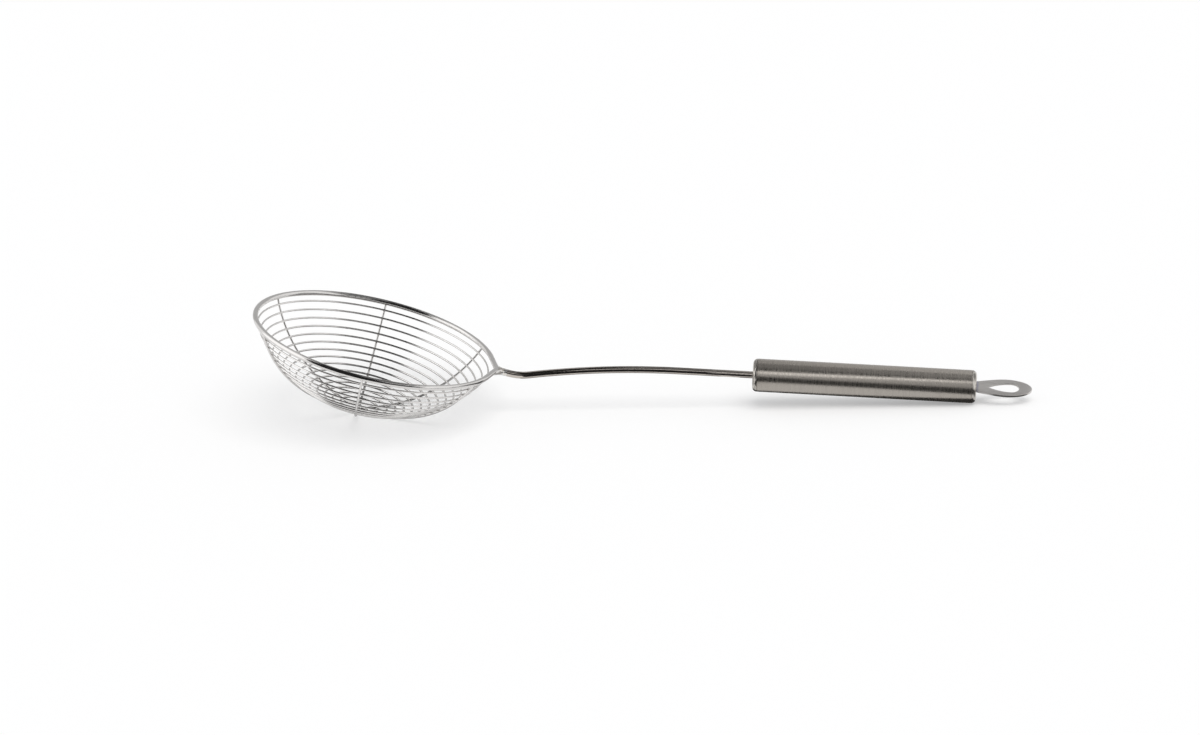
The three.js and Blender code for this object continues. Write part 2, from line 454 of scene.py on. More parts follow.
@dataclass(frozen=True, kw_only=True)
class StampedPlate(Steel):
    """Tumbled sheet steel: a satin grain, bright sheared edges and a heat tint at the root."""

    edge_colour: Colour
    heat_colour: Colour
    thickness: float = PLATE_THICKNESS
    edge: float = PLATE_EDGE
    edge_end: float = 0.014 * MM  # under the faces, where the look of a sheared edge ends
    edge_share: float = 0.7  # of the edge's colour
    edge_gloss: float = 0.12  # how much smoother a sheared edge is
    heat_share: float = 0.75  # of the tint's colour
    heat_start: float = 0.2 * MM
    heat_end: float = 1.6 * MM
    heat_ripple: float = 1 * MM  # how far the tint's border wavers
    grain: float = 0.14 * MM
    grain_length: float = 1.1 * MM
    patch: float = 5 * MM

    def look(self, board: Board, point: Point) -> Look:
        """Lay out the grain, the edges and the tint.

        Args:
            board: the material's nodes.
            point: the point in the sub-assembly's frame.

        Returns:
            What varies over the plate.
        """
        x, y, z = point
        grain = board.noise(x / self.grain_length, y / self.grain, z / self.grain, RICH_DETAIL)
        patches = board.cloud(point, self.patch, RICH_DETAIL)
        face = self.thickness / 2
        sheared = 1 - board.fade(abs(z), face - self.edge, face - self.edge_end)
        reached = x + (patches - MEAN_NOISE) * self.heat_ripple
        heated = 1 - board.fade(reached, self.heat_start, self.heat_end)
        worn = board.mix((grain + patches) / 2, self.colour, self.shade)
        edged = board.mix(sheared * self.edge_share, worn, self.edge_colour)
        tone = board.mix(heated * self.heat_share, edged, self.heat_colour)
        return Look(tone, self.varied(grain, patches) - self.edge_gloss * sheared, grain)


@dataclass(frozen=True, kw_only=True)
class WeldMetal(Steel):
    """Metal that has run and set: rippled, with straw and blue tints left by the heat."""

    straw: Colour
    blue: Colour
    tint: float = 0.5  # share of a tint's colour where it is strongest
    straw_start: float = 0.5  # noise at which the tints start and end
    blue_start: float = 0.62
    blue_end: float = 0.75
    ripple: float = 0.35 * MM
    patch: float = 1.7 * MM

    def look(self, board: Board, point: Point) -> Look:
        """Lay out the ripples and the tints.

        Args:
            board: the material's nodes.
            point: the point in the sub-assembly's frame.

        Returns:
            What varies over the weld.
        """
        ripples = board.cloud(point, self.ripple)
        patches = board.cloud(point, self.patch)
        bare = board.mix(ripples, self.colour, self.shade)
        warmed = board.fade(patches, self.straw_start, self.blue_start)
        heated = board.fade(patches, self.blue_start, self.blue_end)
        strawed = board.mix(self.tint * warmed, bare, self.straw)
        tone = board.mix(self.tint * heated, strawed, self.blue)
        return Look(tone, self.varied(ripples, patches), ripples)


class Workpiece:
    """A mesh that operators model in a local frame and that is then set in its place."""

    def __init__(self, name: str) -> None:
        """Take over the object that an operator has just added.

        Args:
            name: the piece's name.
        """
        self.object: bpy.types.Object = bpy.context.object
        self.object.name = name
        self.object.data.name = name

    @classmethod
    def section(cls, name: str, radius: float, sides: int, centre: Vector, facing: Vector) -> Workpiece:
        """Start a wire or a turned piece from an open round section, and stay in edit mode.

        Args:
            name: the piece's name.
            radius: the section's radius.
            sides: how many sides the section has.
            centre: the section's middle.
            facing: the direction that the section is square to.

        Returns:
            The new piece, with its section selected.
        """
        bpy.ops.object.select_all(action="DESELECT")
        turn = facing.to_track_quat("Z", "Y").to_euler()
        bpy.ops.mesh.primitive_circle_add(vertices=sides, radius=radius, location=centre, rotation=turn)
        bpy.ops.object.transform_apply(location=True, rotation=True, scale=True)
        piece = cls(name)
        bpy.ops.object.mode_set(mode="EDIT")
        bpy.ops.mesh.select_all(action="SELECT")
        return piece

    def run(self, step: Vector) -> None:
        """Draw the selected section out along a straight step."""
        bpy.ops.mesh.extrude_region_move(TRANSFORM_OT_translate={"value": step})

    def bend(self, angle: float, centre: Vector, axis: Vector, steps: int) -> None:
        """Sweep the selected section round an axis.

        Args:
            angle: right-handed; the operator itself turns the other way.
            centre: a point on the axis.
            axis: the axis' direction.
            steps: how many sections the sweep has.
        """
        bpy.ops.mesh.spin(steps=steps, angle=-angle, center=centre, axis=axis)

    def turn(self, angle: float, centre: Vector) -> None:
        """Turn the selected section about Y, right-handed; the operator itself turns the other way."""
        bpy.ops.transform.rotate(value=-angle, orient_axis="Y", center_override=centre)

    def swell(self, factors: tuple[float, float, float], centre: Vector) -> None:
        """Resize the selected section from a centre."""
        bpy.ops.transform.resize(value=factors, center_override=centre)

    def close_ends(self) -> None:
        """Fill the open ends."""
        bpy.ops.mesh.select_all(action="SELECT")
        bpy.ops.mesh.fill_holes(sides=0)

    def join_ends(self) -> None:
        """Bridge the first and the last section."""
        bpy.ops.mesh.select_all(action="DESELECT")
        bpy.ops.mesh.select_non_manifold()
        bpy.ops.mesh.bridge_edge_loops()

    def follow(self, line: Sequence[Vector]) -> None:
        """Draw the selected section along points in the XZ plane, square to the line at each of them.

        Args:
            line: the points; the section already stands at the first, facing the second.
        """
        ways = [after - before for before, after in zip(line[:-1], line[1:])]
        slopes = [math.atan2(way.z, way.x) for way in ways]
        facing = slopes[0]
        for index, way in enumerate(ways):
            self.run(way)
            wanted = (slopes[index] + slopes[min(index + 1, len(ways) - 1)]) / 2
            self.turn(facing - wanted, line[index + 1])
            facing = wanted

    def lathe(self, profile: Sequence[tuple[float, float]]) -> None:
        """Draw the selected section along X, resizing it on the way.

        Args:
            profile: distances along X and radii; the section already has the first.
        """
        for (x_before, before), (x, radius) in zip(profile[:-1], profile[1:]):
            self.run(AXIS_X * (x - x_before))
            self.swell((1.0, radius / before, radius / before), AXIS_X * x)

    def finish(self, seat: Matrix) -> None:
        """Merge doubles, point the faces outwards, smooth them and set the mesh in its place.

        Args:
            seat: the place of the frame that the mesh was modelled in.
        """
        bpy.ops.mesh.select_all(action="SELECT")
        bpy.ops.mesh.remove_doubles(threshold=MERGE_DISTANCE)
        bpy.ops.mesh.normals_make_consistent(inside=False)
        bpy.ops.object.mode_set(mode="OBJECT")
        bpy.ops.object.shade_smooth_by_angle(angle=SMOOTH_ANGLE)
        self.place(seat)

    def pick(self) -> None:
        """Select this piece alone."""
        bpy.ops.object.select_all(action="DESELECT")
        self.object.select_set(True)
        bpy.context.view_layer.objects.active = self.object

    def place(self, seat: Matrix) -> None:
        """Move the mesh to its place, and leave its object at the origin."""
        self.object.matrix_world = seat
        bpy.ops.object.transform_apply(location=True, rotation=True, scale=True)

    def copy(self, name: str, seat: Matrix) -> Workpiece:
        """Copy this piece with its own mesh.

        Args:
            name: the copy's name.
            seat: the copy's place.

        Returns:
            The copy.
        """
        self.pick()
        bpy.ops.object.duplicate(linked=False)
        twin = Workpiece(name)
        twin.place(seat)
        return twin

    def join(self, others: Sequence[Workpiece]) -> None:
        """Take the meshes of other pieces into this one.

        Args:
            others: the pieces, which are gone afterwards.
        """
        self.pick()
        for other in others:
            other.object.select_set(True)
        bpy.ops.object.join()

    def discard(self) -> None:
        """Delete this piece."""
        self.pick()
        bpy.ops.object.delete()

    def dress(self, material: bpy.types.Material, slot: Slot, *nodes: str) -> bpy.types.Object:
        """Give the piece its finish, hang it on the root body and hide the CAD nodes that it stands for.

        Args:
            material: its finish.
            slot: the record's slot that the finish belongs to; not used.
            nodes: the CAD nodes that it stands for.

        Returns:
            The finished object.
        """
        self.object.data.materials.clear()
        self.object.data.materials.append(material)
        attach(self.object, BODY)
        if nodes:
            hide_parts(*nodes)
        return self.object


class RingPlace(NamedTuple):
    """Where a ring lies in the basket's frame."""

    node: str
    radius: float
    height: float


def seat_from(origin: Vector, forwards: Vector) -> Matrix:
    """Make a frame whose Y is the row's own Y.

    Args:
        origin: its origin.
        forwards: its X, square to the row's Y.

    Returns:
        Its place.
    """
    x = forwards.normalized()
    turned = Matrix((x, AXIS_Y, x.cross(AXIS_Y))).transposed()
    return Matrix.Translation(origin) @ turned.to_4x4()


class Survey:
    """Reads places off the CAD nodes."""

    def __init__(self, nodes: Mapping[str, bpy.types.Object]) -> None:
        """Keep the nodes that the frame gives."""
        self.nodes = nodes

    def points(self, node: str) -> list[Vector]:
        """List a node's corners, each once.

        Args:
            node: the node's name.

        Returns:
            The corners, in order.
        """
        vertices = self.nodes[node].data.vertices
        corners = {tuple(round(part, CORNER_DIGITS) for part in vertex.co) for vertex in vertices}
        return [Vector(place) for place in sorted(corners)]

    def middle(self, node: str) -> Vector:
        """Average a node's corners."""
        corners = self.points(node)
        return sum(corners, ORIGIN) / len(corners)

    def named(self, start: str) -> list[str]:
        """List the nodes whose names start alike, in order."""
        return sorted(name for name in self.nodes if name.startswith(start))

    def basket_seat(self) -> Matrix:
        """Find the basket's frame.

        Returns:
            Its place: origin in the middle of the rim, Z out of the mouth and X towards the handle.
        """
        rings = self.named("ring_")
        first = self.middle(rings[0])
        upwards = (first - self.middle(rings[-1])).normalized()
        origin = first + upwards * (self.middle("rim_wire") - first).dot(upwards)
        return seat_from(origin, AXIS_Y.cross(upwards))

    def handle_seat(self) -> Matrix:
        """Find the handle's frame.

        Returns:
            Its place: origin in the middle of the front cap's face and X towards the eyelet.
        """
        front = self.middle("front_cap")
        along = (self.middle("rear_cap") - front).normalized()
        reach = min((place - front).dot(along) for place in self.points("front_cap"))
        return seat_from(front + along * reach, along)

    def ring(self, node: str, seat: Matrix) -> RingPlace:
        """Measure a ring.

        Args:
            node: the ring's node.
            seat: the basket's frame.

        Returns:
            Where the ring lies in that frame.
        """
        corners = [seat.inverted() @ place for place in self.points(node)]
        radius = sum(place.xy.length for place in corners) / len(corners)
        return RingPlace(node, radius, sum(place.z for place in corners) / len(corners))

    def length(self, node: str, seat: Matrix) -> float:
        """Find how far a node reaches along the handle's X."""
        return max((seat.inverted() @ place).x for place in self.points(node))


@dataclass
class Basket:
    """The basket: the rim, the rings, the ribs outside them and the welds where they cross."""

    seat: Matrix
    rings: list[RingPlace]
    rim_radius: float = 57.1 * MM
    rim_wire: float = 2.6 * MM
    neck_reach: float = 1.8 * MM  # beyond the rim's circle
    neck_bend: float = 2.5 * MM  # radius of the bend at the neck
    depth: float = 33.8 * MM
    fullness: float = 0.44  # 0 is a parabola, and more is a rounder wall
    ring_wire: float = 0.9 * MM
    rib_wire: float = 1.1 * MM
    rib_count: int = 3
    first_rib: float = math.radians(30)
    sink: float = 0.15 * MM  # how far a weld presses two crossing wires into each other
    crossing: float = 7.1 * MM  # how far from the bottom's middle the ribs start to rise over each other
    rim_sides: int = 24
    rim_steps: int = 220
    bend_steps: int = 16
    wire_sides: int = 14
    ring_steps: int = 112
    rib_steps: int = 150
    bead_segments: int = 10
    bead_rings: int = 6
    bead_spread: float = 1.1  # of a ball as thick as the rib's wire
    bead_squeeze: float = 0.7
    bead_cut: float = 0.2  # of the rib's wire, from the ball's middle to its flat outside
    rim_finish: Steel = DrawnWire(
        name="rim_wire_polish",
        colour=(0.70, 0.685, 0.675),
        shade=(0.62, 0.605, 0.59),
        roughness=0.14,
        lay=Lay.ROUND_BASKET,
    )
    ring_finish: Steel = DrawnWire(
        name="ring_wire_polish",
        colour=(0.80, 0.785, 0.775),
        shade=(0.72, 0.705, 0.69),
        roughness=0.14,
        lay=Lay.ROUND_BASKET,
    )
    rib_finish: Steel = DrawnWire(
        name="rib_wire_polish",
        colour=(0.74, 0.725, 0.715),
        shade=(0.66, 0.645, 0.63),
        roughness=0.17,
        lay=Lay.DOWN_RIBS,
    )
    weld_finish: Steel = WeldMetal(
        name="spot_weld",
        colour=(0.62, 0.61, 0.60),
        shade=(0.50, 0.49, 0.47),
        roughness=0.3,
        spread=0.12,
        depth=0.01 * MM,
        straw=(0.56, 0.47, 0.34),
        blue=(0.40, 0.42, 0.52),
    )

    def wall(self, left: float) -> tuple[Vector, Vector]:
        """Find a point of the wall that the rings' middles lie on, in the XZ plane.

        Args:
            left: 1 at the rim and 0 at the bottom's middle.

        Returns:
            The point and the direction out of the basket there.
        """
        share = 1 - left * left
        bulge = math.sqrt(1 + self.fullness * share)
        point = Vector((self.rim_radius * left * bulge, 0.0, -self.depth * share))
        slope = self.rim_radius * (bulge - self.fullness * left * left / bulge)
        return point, Vector((2 * self.depth * left, 0.0, -slope)).normalized()

    def rim(self) -> Workpiece:
        """Bend the rim: a circle, two straight runs and a tight bend at the neck.

        Returns:
            The rim in its place.
        """
        # The straight runs touch the circle and the bend at the angle called spread, on either side of X.
        turned = self.rim_radius - self.neck_bend
        bend_centre = AXIS_X * (turned + self.neck_reach)
        spread = math.acos(turned / bend_centre.x)
        across = Vector((math.sin(spread), math.cos(spread), 0.0))
        start = Vector((across.y, across.x, 0.0)) * self.rim_radius
        facing = Vector((-across.x, across.y, 0.0))
        piece = Workpiece.section("basket_rim", self.rim_wire / 2, self.rim_sides, start, facing)
        piece.bend(FULL_TURN - 2 * spread, ORIGIN, AXIS_Z, self.rim_steps)
        piece.run(across * math.sqrt(bend_centre.x**2 - turned**2))
        piece.bend(2 * spread, bend_centre, AXIS_Z, self.bend_steps)
        piece.join_ends()
        piece.finish(self.seat)
        return piece

    def ring(self, place: RingPlace) -> Workpiece:
        """Bend one ring and close it.

        Args:
            place: where the ring lies.

        Returns:
            The ring in its place.
        """
        start = Vector((place.radius, 0.0, place.height))
        name = "basket_" + place.node
        piece = Workpiece.section(name, self.ring_wire / 2, self.wire_sides, start, AXIS_Y)
        piece.bend(FULL_TURN, ORIGIN, AXIS_Z, self.ring_steps)
        piece.finish(self.seat)
        return piece

    def rib_line(self, lift: float) -> list[Vector]:
        """Find a rib's middle line in the XZ plane, from rim to rim outside the rings.

        Args:
            lift: how far it rises into the basket at the bottom, to cross the other ribs.

        Returns:
            The line's points.
        """
        seated = (self.ring_wire + self.rib_wire) / 2 - self.sink
        line = []
        for step in range(self.rib_steps + 1):
            side = 2 * step / self.rib_steps - 1
            point, outwards = self.wall(abs(side))
            near = min(1.0, point.x / self.crossing)
            point += outwards * (seated - lift * math.cos(QUARTER_TURN * near) ** 2)
            line.append(Vector((math.copysign(point.x, side), 0.0, point.z)))
        return line

    def rib_seat(self, index: int) -> Matrix:
        """Find the frame whose XZ plane a rib lies in."""
        turn = self.first_rib + HALF_TURN * index / self.rib_count
        return self.seat @ Matrix.Rotation(turn, MATRIX_SIZE, "Z")

    def rib(self, index: int) -> Workpiece:
        """Bow one rib.

        Args:
            index: which of the ribs, from 0.

        Returns:
            The rib in its place.
        """
        lift = (index - (self.rib_count - 1) / 2) * (self.rib_wire - self.sink)
        line = self.rib_line(lift)
        name = f"basket_rib_{index + 1}"
        piece = Workpiece.section(name, self.rib_wire / 2, self.wire_sides, line[0], line[1] - line[0])
        piece.follow(line)
        piece.close_ends()
        piece.finish(self.rib_seat(index))
        return piece

    def bead(self) -> Workpiece:
        """Shape one spot weld: a small ball, squeezed between the wires and cut flat on the outside.

        Returns:
            The weld at the origin, with its outside towards Z.
        """
        bpy.ops.object.select_all(action="DESELECT")
        bpy.ops.mesh.primitive_uv_sphere_add(
            segments=self.bead_segments, ring_count=self.bead_rings, radius=self.rib_wire / 2
        )
        piece = Workpiece("spot_weld")
        bpy.ops.object.mode_set(mode="EDIT")
        bpy.ops.mesh.select_all(action="SELECT")
        piece.swell((self.bead_spread, self.bead_spread, self.bead_squeeze), ORIGIN)
        bpy.ops.mesh.bisect(
            plane_co=AXIS_Z * self.rib_wire * self.bead_cut, plane_no=AXIS_Z, use_fill=True, clear_outer=True
        )
        piece.finish(Matrix.Identity(MATRIX_SIZE))
        return piece

    def weld_seats(self) -> Iterator[Matrix]:
        """Find where one rib is welded, on every ring and on both sides.

        Returns:
            The welds' places in the rib's frame.
        """
        for place in self.rings:
            point, outwards = self.wall(math.sqrt(1 + place.height / self.depth))
            lean = Matrix.Rotation(math.atan2(outwards.x, outwards.z), MATRIX_SIZE, "Y")
            seat = Matrix.Translation(point + outwards * self.ring_wire / 2) @ lean
            for side in (0.0, HALF_TURN):
                yield Matrix.Rotation(side, MATRIX_SIZE, "Z") @ seat

    def welds(self) -> list[Workpiece]:
        """Weld one rib to every ring, and copy its row of welds to the other ribs.

        Returns:
            One row of welds for each rib.
        """
        bead = self.bead()
        beads = [bead.copy(f"weld_{index}", seat) for index, seat in enumerate(self.weld_seats())]
        row = beads[0]
        row.join(beads[1:])
        rows = [row.copy(f"rib_welds_{index + 1}", self.rib_seat(index)) for index in range(self.rib_count)]
        row.discard()
        bead.discard()
        return rows

    def build(self) -> Iterator[bpy.types.Object]:
        """Build and dress the basket's pieces.

        Returns:
            The pieces, one after another.
        """
        yield self.rim().dress(self.rim_finish.material(self.seat), Slot.RIM, "rim_wire")
        ring_material = self.ring_finish.material(self.seat)
        for place in self.rings:
            yield self.ring(place).dress(ring_material, Slot.RING, place.node)
        rib_material = self.rib_finish.material(self.seat)
        for index in range(self.rib_count):
            yield self.rib(index).dress(rib_material, Slot.RIB, f"rib_{index + 1}")
        weld_material = self.weld_finish.material(self.seat)
        for row in self.welds():
            yield row.dress(weld_material, Slot.RIB)


class WeldSection(NamedTuple):
    """A section of the weld at the neck, as large as the rod's section times two factors."""

    x: float  # from the rod's start
    width: float
    thickness: float


@dataclass
class Shank:
    """The bent rod between the basket's neck and the handle, and its weld to the rim."""

    seat: Matrix  # the basket's
    wire: float = ROD_THICKNESS
    start: float = 60.5 * MM  # from the basket's axis
    drop: float = 0.5 * MM  # under the rim's middle
    root: float = 1.3 * MM  # of the rod inside the weld, before its start
    neck_run: float = 4.9 * MM
    kick_radius: float = 25 * MM
    kick_turn: float = math.radians(20.8)
    arch_length: float = 71 * MM
    handle_rise: float = math.radians(11.2)
    straight: float = 34 * MM
    tail: float = 14 * MM
    sides: int = 28
    kick_steps: int = 24
    arch_steps: int = 40
    weld_sides: int = 32
    weld_skin: float = 0.02 * MM  # of the weld over the rod
    weld_sections: tuple[WeldSection, ...] = (
        WeldSection(3.4 * MM, 1.0, 1.0),
        WeldSection(2.6 * MM, 1.03, 1.02),
        WeldSection(1.8 * MM, 1.14, 1.03),
        WeldSection(1.0 * MM, 1.4, 1.02),
        WeldSection(0.3 * MM, 1.85, 1.0),
        WeldSection(-0.3 * MM, 2.4, 0.97),
        WeldSection(-0.9 * MM, 3.0, 0.93),
        WeldSection(-1.5 * MM, 3.6, 0.88),
        WeldSection(-2.1 * MM, 4.1, 0.8),
    )
    rod_finish: Steel = DrawnWire(
        name="shank_polish",
        colour=(0.60, 0.55, 0.51),
        shade=(0.50, 0.46, 0.42),
        roughness=0.15,
        lay=Lay.ALONG_SHANK,
    )
    weld_finish: Steel = WeldMetal(
        name="neck_weld",
        colour=(0.78, 0.77, 0.755),
        shade=(0.66, 0.65, 0.635),
        roughness=0.2,
        spread=0.1,
        depth=0.02 * MM,
        straw=(0.58, 0.50, 0.40),
        blue=(0.46, 0.48, 0.56),
    )

    def neck(self, x: float) -> Vector:
        """Find the middle of the rod's straight neck at a distance from its start."""
        return Vector((self.start + x, 0.0, -self.drop))

    def rod(self) -> Workpiece:
        """Bend the rod: a short neck, a kick upwards, a long arch and a straight run into the handle.

        Returns:
            The rod in its place.
        """
        piece = Workpiece.section("shank", self.wire / 2, self.sides, self.neck(-self.root), AXIS_X)
        piece.run(AXIS_X * self.root)
        piece.run(AXIS_X * self.neck_run)
        kick_centre = self.neck(self.neck_run) + AXIS_Z * self.kick_radius
        piece.bend(-self.kick_turn, kick_centre, AXIS_Y, self.kick_steps)
        steep = Vector((math.sin(self.kick_turn), 0.0, -math.cos(self.kick_turn)))
        fall = self.kick_turn - self.handle_rise
        arch_centre = kick_centre + steep * (self.kick_radius + self.arch_length / fall)
        piece.bend(fall, arch_centre, AXIS_Y, self.arch_steps)
        onwards = Vector((math.cos(self.handle_rise), 0.0, math.sin(self.handle_rise)))
        piece.run(onwards * self.straight)
        piece.run(onwards * self.tail)
        piece.close_ends()
        piece.finish(self.seat)
        return piece

    def weld(self) -> Workpiece:
        """Spread the weld from a sleeve on the rod to a flat tongue over both sides of the rim's neck.

        Returns:
            The weld in its place.
        """
        radius = self.wire / 2 + self.weld_skin
        start = self.neck(self.weld_sections[0].x)
        piece = Workpiece.section("neck_weld", radius, self.weld_sides, start, AXIS_X)
        for before, section in zip(self.weld_sections[:-1], self.weld_sections[1:]):
            growth = (1.0, section.width / before.width, section.thickness / before.thickness)
            piece.run(AXIS_X * (section.x - before.x))
            piece.swell(growth, self.neck(section.x))
        piece.close_ends()
        piece.finish(self.seat)
        return piece

    def build(self) -> Iterator[bpy.types.Object]:
        """Build and dress the rod and its weld."""
        yield self.rod().dress(self.rod_finish.material(self.seat), Slot.SHANK, "shank_rod")
        yield self.weld().dress(self.weld_finish.material(self.seat), Slot.SHANK)


@dataclass
class Handle:
    """The hollow tube handle and the caps that close its ends."""

    seat: Matrix
    length: float  # over both caps
    rod: float = ROD_THICKNESS
    diameter: float = 15.5 * MM
    wall: float = 0.8 * MM
    cap_edge: float = 2.2 * MM  # radius of a cap's rounded edge
    cap_wall: float = 0.8 * MM
    spigot: float = 7 * MM  # how far a cap goes into the tube
    collar: float = 3 * MM  # how far the front cap's collar goes on behind its edge
    seam: float = 0.05 * MM  # between the tube and a cap's edge
    soft_edge: float = 0.12 * MM
    fit: float = 0.05 * MM  # gap round the spigots and the rod
    slot_width: float = 6.4 * MM
    slot_height: float = 1.3 * MM
    slot_block: float = 8.8 * MM  # length of the block that cuts the slot, half of it inside the cap
    eyelet_turn: float = math.radians(14)
    sides: int = 112
    edge_steps: int = 12
    tube_finish: Steel = BrushedTube(
        name="brushed_tube",
        colour=(0.55, 0.51, 0.465),
        shade=(0.46, 0.425, 0.385),
        roughness=0.29,
        spread=0.24,
        depth=0.0025 * MM,
    )
    cap_finish: Steel = TurnedCap(
        name="polished_cap",
        colour=(0.58, 0.55, 0.51),
        shade=(0.50, 0.475, 0.44),
        roughness=0.26,
        spread=0.1,
        depth=0.006 * MM,
    )

    @property
    def radius(self) -> float:
        """Half the tube's diameter."""
        return self.diameter / 2

    def tube(self) -> Workpiece:
        """Turn the tube with a small edge at each end.

        Returns:
            The tube in its place.
        """
        bore = self.radius - self.wall
        start = self.cap_edge + self.seam
        end = self.length - start
        profile = [
            (start, bore),
            (start, self.radius - self.soft_edge),
            (start + self.soft_edge, self.radius),
            (end - self.soft_edge, self.radius),
            (end, self.radius - self.soft_edge),
            (end, bore),
        ]
        piece = Workpiece.section("tube", bore, self.sides, AXIS_X * start, AXIS_X)
        piece.lathe(profile)
        piece.join_ends()
        piece.finish(self.seat)
        return piece

    def cap_outside(self, hole: float) -> list[tuple[float, float]]:
        """List a cap's outline from its face's hole over the rounded edge to the spigot's inside.

        Args:
            hole: the radius that the outline starts at.

        Returns:
            Distances from the face and radii.
        """
        spigot = self.radius - self.wall - self.fit
        outline = [(0.0, hole)]
        for step in range(self.edge_steps):
            angle = QUARTER_TURN * step / self.edge_steps
            depth = self.cap_edge * (1 - math.cos(angle))
            outline.append((depth, self.radius - self.cap_edge * (1 - math.sin(angle))))
        outline += [
            (self.cap_edge - self.soft_edge, self.radius),
            (self.cap_edge, self.radius - self.soft_edge),
            (self.cap_edge, spigot),
            (self.cap_edge + self.spigot, spigot),
            (self.cap_edge + self.spigot, spigot - self.cap_wall),
            (self.cap_edge, spigot - self.cap_wall),
        ]
        return outline

    def front_cap(self) -> Workpiece:
        """Turn the front cap, with a collar round the shank.

        Returns:
            The cap in its place.
        """
        hole = self.rod / 2 + self.fit
        end = self.cap_edge + self.collar
        profile = [(end, hole), (self.soft_edge, hole), *self.cap_outside(hole + self.soft_edge)]
        profile += [(self.cap_edge, hole + self.cap_wall), (end, hole + self.cap_wall)]
        piece = Workpiece.section("cap_front", hole, self.sides, AXIS_X * end, AXIS_X)
        piece.lathe(profile)
        piece.join_ends()
        piece.finish(self.seat)
        return piece

    def rear_cap(self) -> Workpiece:
        """Turn the rear cap and cut the slot for the eyelet in its face.

        Returns:
            The cap in its place.
        """
        core = self.slot_width / 2
        piece = Workpiece.section("cap_rear", core, self.sides, ORIGIN, AXIS_X)
        piece.lathe([*self.cap_outside(core), (self.cap_edge, core)])
        piece.close_ends()
        piece.finish(self.rear_face() @ Matrix.Rotation(HALF_TURN, MATRIX_SIZE, "Z"))
        cutter = self.slot_cutter()
        piece.pick()
        cut = piece.object.modifiers.new("slot", "BOOLEAN")
        cut.operation = "DIFFERENCE"
        cut.object = cutter.object
        bpy.ops.object.modifier_apply(modifier=cut.name)
        cutter.discard()
        return piece

    def slot_cutter(self) -> Workpiece:
        """Make the block that cuts the slot in the rear cap's face.

        Returns:
            The block in its place.
        """
        size = (self.slot_block, self.slot_width, self.slot_height)
        bpy.ops.object.select_all(action="DESELECT")
        bpy.ops.mesh.primitive_cube_add(size=1.0, scale=size)
        bpy.ops.object.transform_apply(location=True, rotation=True, scale=True)
        block = Workpiece("slot_cutter")
        block.place(self.eyelet_seat())
        return block

    def rear_face(self) -> Matrix:
        """Find the handle's frame moved to the middle of the rear cap's face."""
        return self.seat @ Matrix.Translation(AXIS_X * self.length)

    def eyelet_seat(self) -> Matrix:
        """Find the eyelet's frame: origin in the rear cap's face, X to the tip, Z square to the plate."""
        return self.rear_face() @ Matrix.Rotation(self.eyelet_turn, MATRIX_SIZE, "X")

    def build(self) -> Iterator[bpy.types.Object]:
        """Build and dress the tube and the caps.

        Returns:
            The pieces, one after another.
        """
        yield self.tube().dress(self.tube_finish.material(self.seat), Slot.TUBE, "handle_tube")
        cap_material = self.cap_finish.material(self.seat)
        yield self.front_cap().dress(cap_material, Slot.CAP, "front_cap")
        yield self.rear_cap().dress(cap_material, Slot.CAP, "rear_cap")


class Knot(NamedTuple):
    """A point of a flat outline with the handles before and after it, all in (x, y)."""

    before: tuple[float, float]
    at: tuple[float, float]
    after: tuple[float, float]


def corner(x: float, y: float) -> Knot:
    """Make a knot with no handles."""
    return Knot((x, y), (x, y), (x, y))


def round_end(x: float, radius: float) -> Knot:
    """Make the knot on the axis where a round end goes over to the other side."""
    handle = radius * CIRCLE_HANDLE
    return Knot((x, -handle), (x, 0.0), (x, handle))


def mirrored(knot: Knot) -> Knot:
    """Turn a knot over to the outline's other side."""
    (before_x, before_y), (x, y), (after_x, after_y) = knot
    return Knot((after_x, -after_y), (x, -y), (before_x, -before_y))


def towards(start: float, control: float) -> float:
    """Place a cubic handle on the way from a point to a quadratic curve's control point."""
    return start + (control - start) * QUADRATIC_HANDLE


def add_loop(shape: bpy.types.Curve, knots: Sequence[Knot]) -> None:
    """Add a closed loop to a flat curve.

    Args:
        shape: the curve.
        knots: the loop's points with their handles.
    """
    loop = shape.splines.new("BEZIER")
    loop.bezier_points.add(len(knots) - 1)
    loop.use_cyclic_u = True
    for point, knot in zip(loop.bezier_points, knots):
        point.handle_left_type = "FREE"
        point.handle_right_type = "FREE"
        point.handle_left = (*knot.before, 0.0)
        point.co = (*knot.at, 0.0)
        point.handle_right = (*knot.after, 0.0)


